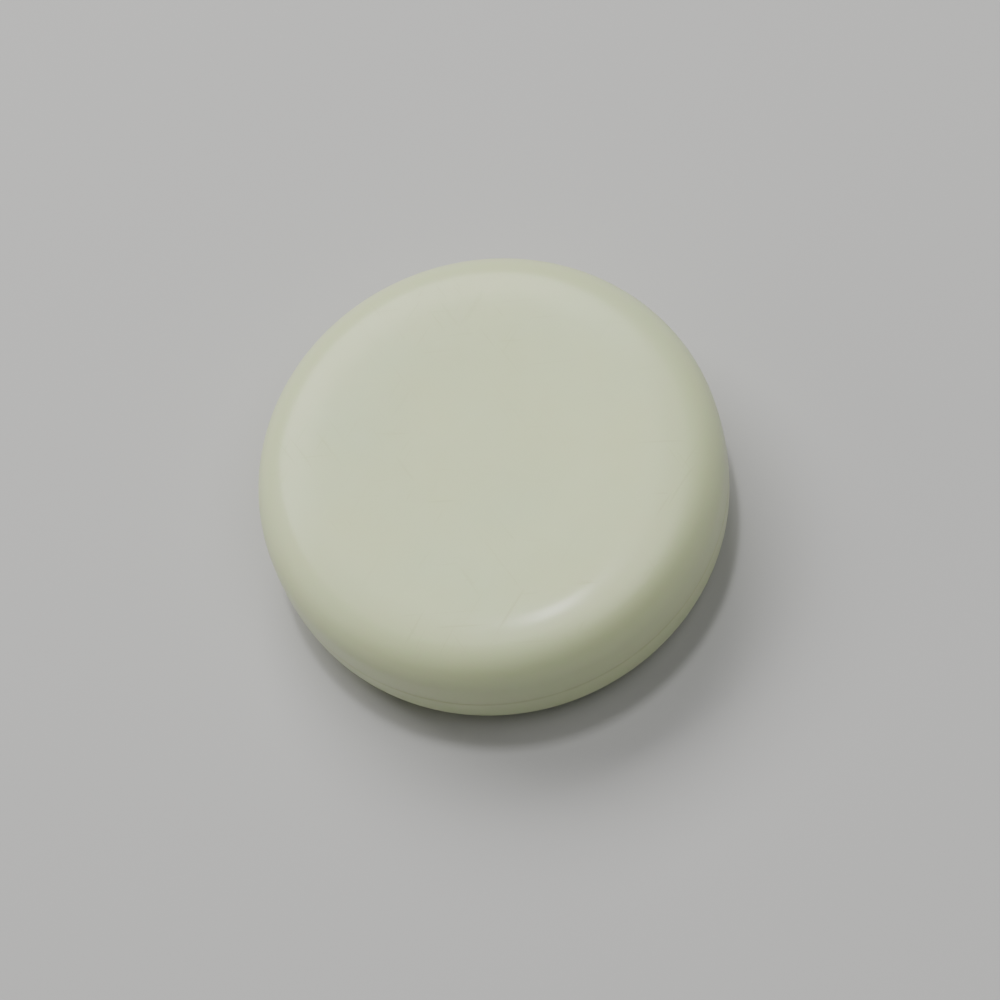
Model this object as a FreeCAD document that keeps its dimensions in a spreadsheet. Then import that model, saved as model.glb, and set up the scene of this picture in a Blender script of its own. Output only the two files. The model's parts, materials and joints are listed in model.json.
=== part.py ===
# A weighted dealer button: a thick round puck with softly rolled edges and a shallow dish in each face.
#
# Two moulded half shells meet on a flat seam at mid-height. A tongue on the lower shell fits a rebate in
# the upper one, and pins on the lower shell press into bosses in the upper one. Inside, a steel slug is
# held in a hub ring and between two foam pads. The button stands on its lower land ring, with its axis on
# Z and the origin under its centre. All sizes are in millimetres.

import FreeCAD, Part
import math
import os
import Sketcher

# The driving dimensions, each with what it is.
SIZES = [
    ("button_diameter", 50.8, "widest diameter, at the seam"),
    ("button_height", 15.9, "from the lower land ring to the upper one"),
    ("rim_width", 7.6, "from the widest point in to the land ring"),
    ("land_width", 0.8, "flat ring that the button stands on"),
    ("shoulder_radius", 19.0, "soft roll between land ring and corner"),
    ("corner_radius", 4.8, "tight roll at the corner of the edge"),
    ("side_radius", 40.0, "slight bulge of the side wall"),
    ("dish_depth", 0.16, "how far each face lies below its land ring"),
    ("dish_flat_radius", 6.0, "flat middle of each face, from which the dish rises to the land ring"),
    ("seam_chamfer", 0.12, "broken edge of each shell along the seam"),
    ("face_wall", 2.2, "wall under the dished face"),
    ("rim_wall", 2.4, "side wall, at the seam"),
    ("inner_corner_radius", 4.0, "inside corner between face wall and side wall"),
    ("tongue_thickness", 1.1, "tongue of the lap joint"),
    ("tongue_height", 1.5, "how far the tongue stands past the seam"),
    ("lap_clearance", 0.05, "radial gap round the tongue, filled with cement"),
    ("tip_clearance", 0.15, "gap past the end of the tongue"),
    ("rib_thickness", 1.2, "ribs and hub ring"),
    ("ribs_per_pin", 2, "ribs from one pin to the next"),
    ("rib_clearance", 1.0, "from the end of the tongue to the free edge of the ribs"),
    ("root_depth", 0.4, "how far ribs, hub ring, bosses and tongue sink into a wall"),
    ("meeting_gap", 0.15, "from each hub ring or boss to the seam"),
    ("pin_count", 3, "press pins, and the bosses that take them"),
    ("pin_diameter", 2.2, "press pin"),
    ("pin_length", 3.2, "how far a pin stands past the seam"),
    ("pin_clearance", 0.05, "radial gap round a pin"),
    ("boss_diameter", 4.6, "boss that carries a pin or a socket"),
    ("weight_diameter", 26.0, "steel slug"),
    ("weight_thickness", 6.0, "steel slug"),
    ("weight_chamfer", 0.5, "both edges of the slug"),
    ("weight_clearance", 0.2, "radial gap between slug and hub ring"),
    ("pad_inset", 0.5, "how far the edge of a foam pad lies inside the slug's"),
]

# Formulas that several pieces share. A shell is drawn with its seam at zero height and its face upwards.
OUTER_R = "(Sizes.button_diameter / 2)"
TOP = "(Sizes.button_height / 2)"
FLOOR = f"({TOP} - Sizes.dish_depth)"
LAND_OUTER_R = f"({OUTER_R} - Sizes.rim_width)"
LAND_INNER_R = f"({LAND_OUTER_R} - Sizes.land_width)"
INNER_R = f"({OUTER_R} - Sizes.rim_wall)"
CEILING = f"({FLOOR} - Sizes.face_wall)"
HUB_INNER_R = "(Sizes.weight_diameter / 2 + Sizes.weight_clearance)"
HUB_OUTER_R = f"({HUB_INNER_R} + Sizes.rib_thickness)"
HUB_MIDDLE_R = f"({HUB_INNER_R} + Sizes.rib_thickness / 2)"
PIN_CIRCLE_R = f"(({HUB_OUTER_R} + {INNER_R}) / 2)"
RIB_COUNT = "Sizes.pin_count * Sizes.ribs_per_pin"

START, END, CENTRE = 1, 2, 3
ORIGIN = (-1, START)
X_AXIS = -1


def make_sheet(doc):
    sheet = doc.addObject("Spreadsheet::Sheet", "Sizes")
    for row, (alias, value, meaning) in enumerate(SIZES, start=1):
        sheet.set(f"A{row}", alias)
        sheet.set(f"B{row}", str(value))
        sheet.set(f"C{row}", meaning)
        sheet.setAlias(f"B{row}", alias)
    doc.recompute()


def number(item, formula):
    """What a formula comes to with the sheet's present values."""
    return float(item.evalExpression(formula))


def origin_feature(body, role):
    return next(feature for feature in body.Origin.OriginFeatures if feature.Role == role)


def add_body(doc, label):
    body = doc.addObject("PartDesign::Body", label)
    body.Label = label
    return body


def add_sketch(body, name, plane):
    sketch = body.newObject("Sketcher::SketchObject", name)
    sketch.AttachmentSupport = (origin_feature(body, plane), [""])
    sketch.MapMode = "FlatFace"
    return sketch


def line(sketch, start, end):
    return sketch.addGeometry(Part.LineSegment(FreeCAD.Vector(*start, 0), FreeCAD.Vector(*end, 0)), False)


def circle(sketch, centre, radius):
    return sketch.addGeometry(Part.Circle(FreeCAD.Vector(*centre, 0), FreeCAD.Vector(0, 0, 1), radius), False)


def arc(sketch, centre, radius, start_angle, end_angle):
    """An arc drawn anticlockwise between two angles in radians."""
    whole = Part.Circle(FreeCAD.Vector(*centre, 0), FreeCAD.Vector(0, 0, 1), radius)
    return sketch.addGeometry(Part.ArcOfCircle(whole, start_angle, end_angle), False)


def rules(sketch, table):
    """Adds constraints that hold no size, each (kind, what it ties together)."""
    for kind, *where in table:
        sketch.addConstraint(Sketcher.Constraint(kind, *where))


def size(sketch, kind, where, formula):
    """Adds a dimension that follows the spreadsheet."""
    index = sketch.addConstraint(Sketcher.Constraint(kind, *where, number(sketch, formula)))
    sketch.setExpression(f"Constraints[{index}]", formula)


def revolve(body, kind, name, sketch):
    """A Revolution or a Groove of a section round the body's axis, which is the sketch's vertical one."""
    feature = body.newObject(kind, name)
    feature.Profile = sketch
    feature.ReferenceAxis = (sketch, ["V_Axis"])
    feature.Angle = 360
    sketch.Visibility = False
    body.Document.recompute()
    return feature


def pad_up(body, name, sketch, length):
    pad = body.newObject("PartDesign::Pad", name)
    pad.Profile = sketch
    pad.setExpression("Length", length)
    sketch.Visibility = False
    body.Document.recompute()
    return pad


def pad_both_ways(body, name, sketch, length):
    pad = pad_up(body, name, sketch, length)
    pad.SideType = "Symmetric"
    body.Document.recompute()
    return pad


def repeat_round(body, name, features, count):
    pattern = body.newObject("PartDesign::PolarPattern", name)
    pattern.Originals = features
    pattern.Axis = (origin_feature(body, "Z_Axis"), [""])
    pattern.Angle = 360
    pattern.setExpression("Occurrences", count)
    body.Tip = pattern
    body.Document.recompute()
    return pattern


def rectangle(body, name, x_range, z_range):
    """A rectangular section on the XZ plane. Each range is two formulas, or None for the seam's height."""
    sketch = add_sketch(body, name, "XZ_Plane")
    low_x, high_x = (number(sketch, formula) for formula in x_range)
    low_z, high_z = (number(sketch, formula) if formula else 0 for formula in z_range)
    corners = [(low_x, low_z), (high_x, low_z), (high_x, high_z), (low_x, high_z)]
    bottom, outside, top, inside = (line(sketch, corners[i - 1], corners[i]) for i in (1, 2, 3, 0))
    rules(sketch, [
        ("Coincident", bottom, END, outside, START),
        ("Coincident", outside, END, top, START),
        ("Coincident", top, END, inside, START),
        ("Coincident", inside, END, bottom, START),
        ("Horizontal", bottom),
        ("Horizontal", top),
        ("Vertical", inside),
        ("Vertical", outside),
    ])
    size(sketch, "DistanceX", (*ORIGIN, bottom, START), x_range[0])
    size(sketch, "DistanceX", (*ORIGIN, bottom, END), x_range[1])
    for side, formula in ((bottom, z_range[0]), (top, z_range[1])):
        if formula:
            size(sketch, "DistanceY", (*ORIGIN, side, START), formula)
        else:
            rules(sketch, [("PointOnObject", side, START, X_AXIS)])
    return sketch


def inner_tangent_centre(side_centre, side_radius, shoulder_centre, shoulder_radius, corner_radius):
    """Centre of the corner's circle, which touches the side's and the shoulder's from inside."""
    to_side = side_radius - corner_radius
    to_shoulder = shoulder_radius - corner_radius
    dx = shoulder_centre[0] - side_centre[0]
    dz = shoulder_centre[1] - side_centre[1]
    apart = math.hypot(dx, dz)
    along = (to_side**2 - to_shoulder**2 + apart**2) / (2 * apart)
    across = math.sqrt(to_side**2 - along**2)
    return (
        side_centre[0] + (along * dx - across * dz) / apart,
        side_centre[1] + (along * dz + across * dx) / apart,
    )


def direction(start, end):
    return math.atan2(end[1] - start[1], end[0] - start[0])


def add_outer_form(body):
    """The solid half puck: seam, broken edge, side, corner, shoulder, land ring and dished face.

    The starting points are worked out from the same sizes, so that the sketch opens near its solution.
    """
    sketch = add_sketch(body, "OuterProfile", "XZ_Plane")
    outer_r, top, floor = (number(sketch, formula) for formula in (OUTER_R, TOP, FLOOR))
    land_outer_r, land_inner_r = (number(sketch, formula) for formula in (LAND_OUTER_R, LAND_INNER_R))
    side_radius, corner_radius, shoulder_radius, floor_r, chamfer = (
        number(sketch, f"Sizes.{name}")
        for name in ("side_radius", "corner_radius", "shoulder_radius", "dish_flat_radius", "seam_chamfer")
    )
    side_centre = (outer_r - side_radius, 0)
    shoulder_centre = (land_outer_r, top - shoulder_radius)
    corner_centre = inner_tangent_centre(
        side_centre, side_radius, shoulder_centre, shoulder_radius, corner_radius
    )
    side_start = math.asin(chamfer / side_radius)
    side_end = direction(side_centre, corner_centre)
    corner_end = direction(shoulder_centre, corner_centre)
    blend_turn = 2 * math.atan((top - floor) / (land_inner_r - floor_r))
    blend_radius = (land_inner_r - floor_r) / (2 * math.sin(blend_turn))
    chamfer_top = (side_centre[0] + side_radius * math.cos(side_start), chamfer)
    up = math.pi / 2
    down = 3 * math.pi / 2

    seam = line(sketch, (0, 0), (outer_r - chamfer, 0))
    broken_edge = line(sketch, (outer_r - chamfer, 0), chamfer_top)
    side = arc(sketch, side_centre, side_radius, side_start, side_end)
    corner = arc(sketch, corner_centre, corner_radius, side_end, corner_end)
    shoulder = arc(sketch, shoulder_centre, shoulder_radius, corner_end, up)
    land = line(sketch, (land_outer_r, top), (land_inner_r, top))
    crest = arc(sketch, (land_inner_r, top - blend_radius), blend_radius, up, up + blend_turn)
    hollow = arc(sketch, (floor_r, floor + blend_radius), blend_radius, down, down + blend_turn)
    face = line(sketch, (floor_r, floor), (0, floor))
    axis = line(sketch, (0, floor), (0, 0))
    widest = sketch.addGeometry(Part.Point(FreeCAD.Vector(outer_r, 0, 0)), True)
    rules(sketch, [
        ("Coincident", seam, START, *ORIGIN),
        ("Coincident", seam, END, broken_edge, START),
        ("Coincident", broken_edge, END, side, START),
        ("Tangent", side, END, corner, START),
        ("Tangent", corner, END, shoulder, START),
        ("Tangent", shoulder, END, land, START),
        ("Tangent", land, END, crest, START),
        ("Tangent", crest, END, hollow, END),
        ("Tangent", hollow, START, face, START),
        ("Coincident", face, END, axis, START),
        ("Coincident", axis, END, seam, START),
        ("Horizontal", seam),
        ("Horizontal", land),
        ("Horizontal", face),
        ("Vertical", axis),
        ("Equal", crest, hollow),
        ("PointOnObject", side, CENTRE, X_AXIS),
        ("PointOnObject", widest, START, X_AXIS),
        ("PointOnObject", widest, START, side),
    ])
    size(sketch, "DistanceX", (*ORIGIN, widest, START), OUTER_R)
    size(sketch, "DistanceX", (*ORIGIN, seam, END), f"{OUTER_R} - Sizes.seam_chamfer")
    size(sketch, "DistanceY", (*ORIGIN, side, START), "Sizes.seam_chamfer")
    size(sketch, "Radius", (side,), "Sizes.side_radius")
    size(sketch, "Radius", (corner,), "Sizes.corner_radius")
    size(sketch, "Radius", (shoulder,), "Sizes.shoulder_radius")
    size(sketch, "DistanceX", (*ORIGIN, land, START), LAND_OUTER_R)
    size(sketch, "DistanceX", (*ORIGIN, land, END), LAND_INNER_R)
    size(sketch, "DistanceY", (*ORIGIN, land, START), TOP)
    size(sketch, "DistanceY", (*ORIGIN, face, END), FLOOR)
    size(sketch, "DistanceX", (*ORIGIN, face, START), "Sizes.dish_flat_radius")
    revolve(body, "PartDesign::Revolution", "OuterForm", sketch)


def hollow_outline(body, name, start, grow):
    """A section of the hollow, from a radius outwards, grown into the walls round it by a length.

    start is the radius's formula, or None for the axis. grow is the length's formula, or None.
    """
    sketch = add_sketch(body, name, "XZ_Plane")
    wall_formula = f"{INNER_R} + {grow}" if grow else INNER_R
    roof_formula = f"{CEILING} + {grow}" if grow else CEILING
    round_formula = f"Sizes.inner_corner_radius + {grow}" if grow else "Sizes.inner_corner_radius"
    start_x = number(sketch, start) if start else 0
    wall_x, roof_z, radius = (number(sketch, f) for f in (wall_formula, roof_formula, round_formula))
    corner_centre = (wall_x - radius, roof_z - radius)

    seam = line(sketch, (start_x, 0), (wall_x, 0))
    wall = line(sketch, (wall_x, 0), (wall_x, corner_centre[1]))
    corner = arc(sketch, corner_centre, radius, 0, math.pi / 2)
    roof = line(sketch, (corner_centre[0], roof_z), (start_x, roof_z))
    inside = line(sketch, (start_x, roof_z), (start_x, 0))
    rules(sketch, [
        ("Coincident", seam, END, wall, START),
        ("Tangent", wall, END, corner, START),
        ("Tangent", corner, END, roof, START),
        ("Coincident", roof, END, inside, START),
        ("Coincident", inside, END, seam, START),
        ("Horizontal", seam),
        ("Vertical", wall),
        ("Horizontal", roof),
        ("Vertical", inside),
    ])
    if start:
        rules(sketch, [("PointOnObject", seam, START, X_AXIS)])
        size(sketch, "DistanceX", (*ORIGIN, seam, START), start)
    else:
        rules(sketch, [("Coincident", seam, START, *ORIGIN)])
    size(sketch, "DistanceX", (*ORIGIN, seam, END), wall_formula)
    size(sketch, "DistanceY", (*ORIGIN, inside, START), roof_formula)
    size(sketch, "Radius", (corner,), round_formula)
    return sketch


def cut_cavity(body):
    revolve(body, "PartDesign::Groove", "Cavity", hollow_outline(body, "CavityProfile", None, None))


def add_ribs(body):
    """Radial ribs from the hub ring to the side wall, spaced so that each pin stands midway between two."""
    sketch = hollow_outline(body, "RibProfile", HUB_MIDDLE_R, "Sizes.root_depth")
    half_pitch = f"180 deg / ({RIB_COUNT})"
    upright = FreeCAD.Vector(0, 1, 0)
    turn = FreeCAD.Rotation(upright, 180 / number(sketch, RIB_COUNT))
    sketch.AttachmentOffset = FreeCAD.Placement(FreeCAD.Vector(), turn)
    sketch.setExpression(".AttachmentOffset.Rotation.Angle", half_pitch)
    rib = pad_both_ways(body, "Rib", sketch, "Sizes.rib_thickness")
    repeat_round(body, "Ribs", [rib], RIB_COUNT)


def cut_ribs_back(body):
    """Clears the ribs from the band that the tongue reaches into."""
    free_edge = "Sizes.tongue_height + Sizes.rib_clearance"
    band = rectangle(body, "RibRelief", (HUB_MIDDLE_R, INNER_R), (None, free_edge))
    revolve(body, "PartDesign::Groove", "RibsCutBack", band)


def add_hub_ring(body):
    """The ring round the slug, from the ceiling almost to the seam."""
    height = ("Sizes.meeting_gap", f"{CEILING} + Sizes.root_depth")
    ring = rectangle(body, "HubSection", (HUB_INNER_R, HUB_OUTER_R), height)
    revolve(body, "PartDesign::Revolution", "HubRing", ring)


def circles_at_first_pin(body, name, level, radii):
    """Circles round the first pin's centre, which is on the X axis, at a height above the seam."""
    sketch = add_sketch(body, name, "XY_Plane")
    sketch.setExpression(".AttachmentOffset.Base.z", level)
    for formula in radii:
        ring = circle(sketch, (number(sketch, PIN_CIRCLE_R), 0), number(sketch, formula))
        rules(sketch, [("PointOnObject", ring, CENTRE, X_AXIS)])
        size(sketch, "DistanceX", (*ORIGIN, ring, CENTRE), PIN_CIRCLE_R)
        size(sketch, "Radius", (ring,), formula)
    return sketch


BOSS_R = "Sizes.boss_diameter / 2"
BOSS_LENGTH = f"{CEILING} + Sizes.root_depth - Sizes.meeting_gap"


def add_sockets(body):
    """The upper shell's bosses, each a tube that a pin presses into."""
    hole_r = "Sizes.pin_diameter / 2 + Sizes.pin_clearance"
    tube = circles_at_first_pin(body, "SocketSection", "Sizes.meeting_gap", [BOSS_R, hole_r])
    boss = pad_up(body, "Socket", tube, BOSS_LENGTH)
    repeat_round(body, "Sockets", [boss], "Sizes.pin_count")


def add_pins(body):
    """The lower shell's bosses, each with a pin that stands past the seam."""
    base = circles_at_first_pin(body, "BossSection", "Sizes.meeting_gap", [BOSS_R])
    boss = pad_up(body, "Boss", base, BOSS_LENGTH)
    shank = circles_at_first_pin(body, "PinSection", "-Sizes.pin_length", ["Sizes.pin_diameter / 2"])
    pin = pad_up(body, "Pin", shank, "Sizes.pin_length + Sizes.meeting_gap + Sizes.root_depth")
    repeat_round(body, "Pins", [boss, pin], "Sizes.pin_count")


def cut_rebate(body):
    """The step inside the upper shell's edge that takes the tongue."""
    width = (f"{INNER_R} - Sizes.lap_clearance", f"{INNER_R} + Sizes.tongue_thickness + Sizes.lap_clearance")
    step = rectangle(body, "RebateSection", width, (None, "Sizes.tongue_height + Sizes.tip_clearance"))
    revolve(body, "PartDesign::Groove", "Rebate", step)


def add_tongue(body):
    """The ring inside the lower shell's edge that stands past the seam."""
    width = (INNER_R, f"{INNER_R} + Sizes.tongue_thickness")
    ring = rectangle(body, "TongueSection", width, ("-Sizes.tongue_height", "Sizes.root_depth"))
    revolve(body, "PartDesign::Revolution", "Tongue", ring)


def make_shell(doc, label):
    """What both shells share, with the seam at half the button's height."""
    body = add_body(doc, label)
    body.setExpression(".Placement.Base.z", TOP)
    add_outer_form(body)
    cut_cavity(body)
    add_ribs(body)
    cut_ribs_back(body)
    add_hub_ring(body)
    return body


def make_upper_shell(doc):
    body = make_shell(doc, "upper_shell")
    add_sockets(body)
    cut_rebate(body)
    return body


def make_lower_shell(doc):
    """Turned over about X, the line through its first pin, so that the pins meet the sockets."""
    body = make_shell(doc, "lower_shell")
    add_pins(body)
    add_tongue(body)
    body.Placement.Rotation = FreeCAD.Rotation(FreeCAD.Vector(1, 0, 0), 180)
    return body


def make_weight_slug(doc):
    """The steel slug, at mid-height, with both edges broken."""
    body = add_body(doc, "weight_slug")
    body.setExpression(".Placement.Base.z", TOP)
    sketch = add_sketch(body, "SlugSection", "XY_Plane")
    outline = circle(sketch, (0, 0), number(sketch, "Sizes.weight_diameter / 2"))
    rules(sketch, [("Coincident", outline, CENTRE, *ORIGIN)])
    size(sketch, "Diameter", (outline,), "Sizes.weight_diameter")
    slug = pad_both_ways(body, "Slug", sketch, "Sizes.weight_thickness")
    rims = [f"Edge{i}" for i, edge in enumerate(slug.Shape.Edges, start=1) if edge.Closed]
    chamfer = body.newObject("PartDesign::Chamfer", "BrokenEdges")
    chamfer.Base = (slug, rims)
    chamfer.setExpression("Size", "Sizes.weight_chamfer")
    return body


def make_foam_pad(doc, label, bottom):
    """A foam disc that fills the height between slug and face wall. bottom is its lower side's formula."""
    pad = doc.addObject("Part::Cylinder", label)
    pad.Label = label
    pad.setExpression("Radius", "Sizes.weight_diameter / 2 - Sizes.pad_inset")
    pad.setExpression("Height", f"{CEILING} - Sizes.weight_thickness / 2")
    pad.setExpression(".Placement.Base.z", bottom)
    return pad


def check_cuts(doc):
    """Stops if a cut took nothing away, which a Groove that misses its solid does without an error."""
    for cut in doc.findObjects("PartDesign::Groove"):
        if cut.Shape.Volume >= cut.BaseFeature.Shape.Volume:
            raise RuntimeError(f"{cut.Label} cuts nothing")


def check_pieces(doc, pieces):
    """Stops unless every object recomputed, every sketch is pinned down and every piece is one solid."""
    for item in doc.Objects:
        if {"Invalid", "Error"} & set(item.State):
            raise RuntimeError(f"{item.Label} failed to recompute")
        if item.TypeId == "Sketcher::SketchObject" and not item.FullyConstrained:
            raise RuntimeError(f"{item.Label} is not fully constrained")
    for piece in pieces:
        shape = piece.Shape
        if shape.isNull() or not shape.isValid() or len(shape.Solids) != 1:
            raise RuntimeError(f"{piece.Label} is not one valid solid")
        box = shape.optimalBoundingBox(False)
        spans = f"{box.XLength:.2f} x {box.YLength:.2f} x {box.ZLength:.2f} mm from Z {box.ZMin:.3f}"
        print(f"{piece.Label}: {shape.Volume:.1f} mm3, {spans}")


def main():
    doc = FreeCAD.newDocument("DealerButton")
    make_sheet(doc)
    pieces = [
        make_lower_shell(doc),
        make_upper_shell(doc),
        make_weight_slug(doc),
        make_foam_pad(doc, "lower_foam_pad", f"{TOP} - {CEILING}"),
        make_foam_pad(doc, "upper_foam_pad", f"{TOP} + Sizes.weight_thickness / 2"),
    ]
    doc.recompute()
    check_pieces(doc, pieces)
    check_cuts(doc)
    os.makedirs("parts", exist_ok=True)
    for piece in pieces:
        piece.Shape.exportStep(f"parts/{piece.Label}.step")


main()
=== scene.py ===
import json
import math

import bpy
from mathutils import Matrix, Vector


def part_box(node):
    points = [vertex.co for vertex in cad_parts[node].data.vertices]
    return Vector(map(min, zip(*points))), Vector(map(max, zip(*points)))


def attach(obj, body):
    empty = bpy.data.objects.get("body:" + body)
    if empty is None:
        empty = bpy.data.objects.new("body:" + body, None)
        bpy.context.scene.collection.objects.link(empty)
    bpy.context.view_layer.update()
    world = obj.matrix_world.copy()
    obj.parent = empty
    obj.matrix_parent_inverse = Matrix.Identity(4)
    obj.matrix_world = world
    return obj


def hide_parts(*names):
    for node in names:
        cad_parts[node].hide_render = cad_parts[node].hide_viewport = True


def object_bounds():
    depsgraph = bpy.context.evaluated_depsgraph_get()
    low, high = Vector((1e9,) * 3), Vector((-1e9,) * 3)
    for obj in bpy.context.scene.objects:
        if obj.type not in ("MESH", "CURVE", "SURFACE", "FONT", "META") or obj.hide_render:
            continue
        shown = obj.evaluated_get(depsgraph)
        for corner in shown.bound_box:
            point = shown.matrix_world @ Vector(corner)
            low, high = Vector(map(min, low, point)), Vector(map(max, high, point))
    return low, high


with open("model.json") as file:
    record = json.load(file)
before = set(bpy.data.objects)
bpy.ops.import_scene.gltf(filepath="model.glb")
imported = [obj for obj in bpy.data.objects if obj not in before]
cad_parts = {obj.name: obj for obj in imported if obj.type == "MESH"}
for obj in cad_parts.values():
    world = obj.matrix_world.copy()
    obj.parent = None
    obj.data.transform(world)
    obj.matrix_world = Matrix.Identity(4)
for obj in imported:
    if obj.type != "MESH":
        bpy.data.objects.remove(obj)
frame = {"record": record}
cadLow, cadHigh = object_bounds()
mm = 0.001


# Small helpers for node trees

def addNode(tree, kind, inputs=None, **settings):
    node = tree.nodes.new(kind)
    for name, value in settings.items():
        setattr(node, name, value)
    for name, value in (inputs or {}).items():
        feed(tree, node.inputs[name], value)
    return node


def feed(tree, socket, value):
    if isinstance(value, bpy.types.NodeSocket):
        tree.links.new(value, socket)
    else:
        socket.default_value = value


def calc(tree, operation, *values, clamp=False):
    node = addNode(tree, "ShaderNodeMath", operation=operation, use_clamp=clamp)
    for socket, value in zip(node.inputs, values):
        feed(tree, socket, value)
    return node.outputs[0]


def vectorCalc(tree, operation, first, second=None, scale=None):
    node = addNode(tree, "ShaderNodeVectorMath", operation=operation)
    feed(tree, node.inputs[0], first)
    if second is not None:
        feed(tree, node.inputs[1], second)
    if scale is not None:
        feed(tree, node.inputs["Scale"], scale)
    return node.outputs["Vector"]


def remap(tree, value, fromLow, fromHigh, toLow=0.0, toHigh=1.0, smooth=False):
    kind = "SMOOTHSTEP" if smooth else "LINEAR"
    node = addNode(tree, "ShaderNodeMapRange", {
        "Value": value, "From Min": fromLow, "From Max": fromHigh, "To Min": toLow, "To Max": toHigh,
    }, interpolation_type=kind, clamp=True)
    return node.outputs["Result"]


def addSockets(tree, inputs, outputs):
    for name, (kind, value) in inputs.items():
        socket = tree.interface.new_socket(name=name, in_out="INPUT", socket_type=kind)
        if value is not None:
            socket.default_value = value
    for name, kind in outputs.items():
        tree.interface.new_socket(name=name, in_out="OUTPUT", socket_type=kind)
    return addNode(tree, "NodeGroupInput").outputs, addNode(tree, "NodeGroupOutput").inputs


# The button's form, in millimetres. The outside sizes come from the CAD parts in model.glb.

buttonForm = {
    "rimWidth": 7.6,            # widest point in to the land ring
    "landWidth": 0.8,           # flat ring that it stands on
    "shoulderRadius": 19.0,
    "cornerRadius": 4.8,
    "sideRadius": 40.0,
    "dishDepth": 0.16,
    "dishFlatRadius": 6.0,
    "seamRound": 0.06,          # rounded edge of each shell at the seam
    "rimWall": 2.4,
    "innerCornerRadius": 4.0,
    "tongueThickness": 1.1,
    "tongueHeight": 1.5,
    "lapClearance": 0.05,
    "tipClearance": 0.15,
    "hubWall": 1.2,
    "hubClearance": 0.2,
    "meetingGap": 0.15,
    "faceRings": 14,
    "dishRows": 8,              # rows on each of the bowl's two bends
    "arcStep": math.radians(2.6),
    "seamStep": math.radians(15),
    "innerStep": math.radians(9),
}


def arcPoints(centre, radius, start, end, step):
    # Tilts are counted from straight up, outwards. Both ends are included.
    count = max(2, math.ceil(abs(end - start) / step) + 1)
    tilts = [start + (end - start) * i / (count - 1) for i in range(count)]
    return [(centre[0] + radius * math.sin(t), centre[1] + radius * math.cos(t)) for t in tilts]


def innerTangentCentre(sideCentre, sideRadius, shoulderCentre, shoulderRadius, cornerRadius):
    # The corner's circle touches both big circles from inside.
    toSide = sideRadius - cornerRadius
    toShoulder = shoulderRadius - cornerRadius
    dx = shoulderCentre[0] - sideCentre[0]
    dz = shoulderCentre[1] - sideCentre[1]
    apart = math.hypot(dx, dz)
    along = (toSide ** 2 - toShoulder ** 2 + apart ** 2) / (2 * apart)
    across = math.sqrt(toSide ** 2 - along ** 2)
    return (
        sideCentre[0] + (along * dx - across * dz) / apart,
        sideCentre[1] + (along * dz + across * dx) / apart,
    )


def outsideSection(form, outer, top):
    # From the middle of the face out over the rim and down to the seam, which is at zero height.
    step = form["arcStep"]
    floor = top - form["dishDepth"]
    landOuter = outer - form["rimWidth"]
    landInner = landOuter - form["landWidth"]
    floorEnd = form["dishFlatRadius"]
    turn = 2 * math.atan(form["dishDepth"] / (landInner - floorEnd))
    dish = (landInner - floorEnd) / (2 * math.sin(turn))
    sideCentre = (outer - form["sideRadius"], 0.0)
    shoulderCentre = (landOuter, top - form["shoulderRadius"])
    corner = innerTangentCentre(
        sideCentre, form["sideRadius"], shoulderCentre, form["shoulderRadius"], form["cornerRadius"]
    )
    cornerStart = math.atan2(corner[0] - shoulderCentre[0], corner[1] - shoulderCentre[1])
    cornerEnd = math.atan2(corner[0] - sideCentre[0], corner[1] - sideCentre[1])
    bite = form["seamRound"]
    sideEnd = math.pi / 2 - math.asin(bite / form["sideRadius"])

    rings = form["faceRings"]
    dishStep = turn / form["dishRows"]
    points = [(floorEnd * i / rings, floor) for i in range(rings)]
    points += arcPoints((floorEnd, floor + dish), dish, math.pi, math.pi - turn, dishStep)
    points += arcPoints((landInner, top - dish), dish, -turn, 0.0, dishStep)[1:]
    points += arcPoints(shoulderCentre, form["shoulderRadius"], 0.0, cornerStart, step / 2)
    points += arcPoints(corner, form["cornerRadius"], cornerStart, cornerEnd, step)[1:]
    points += arcPoints(sideCentre, form["sideRadius"], cornerEnd, sideEnd, step)[1:]
    points += arcPoints((outer - bite, bite), bite, math.pi / 2, math.pi, form["seamStep"])[1:]
    return points


def insideSection(form, outer, ceiling, hubInner, hasTongue):
    # From the seam inwards over the lap joint and the hub ring to the middle of the ceiling.
    inner = outer - form["rimWall"]
    lap = inner + form["tongueThickness"]
    radius = form["innerCornerRadius"]
    hubOuter = hubInner + form["hubWall"]
    gap = form["meetingGap"]
    if hasTongue:
        points = [(lap, 0.0), (lap, -form["tongueHeight"]), (inner, -form["tongueHeight"])]
    else:
        lap += form["lapClearance"]
        depth = form["tongueHeight"] + form["tipClearance"]
        points = [(lap, 0.0), (lap, depth), (inner, depth)]
    points += arcPoints((inner - radius, ceiling - radius), radius, math.pi / 2, 0.0, form["innerStep"])
    points += [(hubOuter, ceiling), (hubOuter, gap), (hubInner, gap), (hubInner, ceiling), (0.0, ceiling)]
    return points


def sectionObject(name, points):
    # An open line of vertices in the XZ plane, in the order that the lathe takes them.
    mesh = bpy.data.meshes.new(name)
    edges = [(i, i + 1) for i in range(len(points) - 1)]
    mesh.from_pydata([(x * mm, 0.0, z * mm) for x, z in points], edges, [])
    piece = bpy.data.objects.new(name, mesh)
    bpy.context.scene.collection.objects.link(piece)
    return piece


# Geometry trees

postSides = 48
sharpAngle = math.radians(32)   # an edge that turns more than this stays crisp


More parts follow.
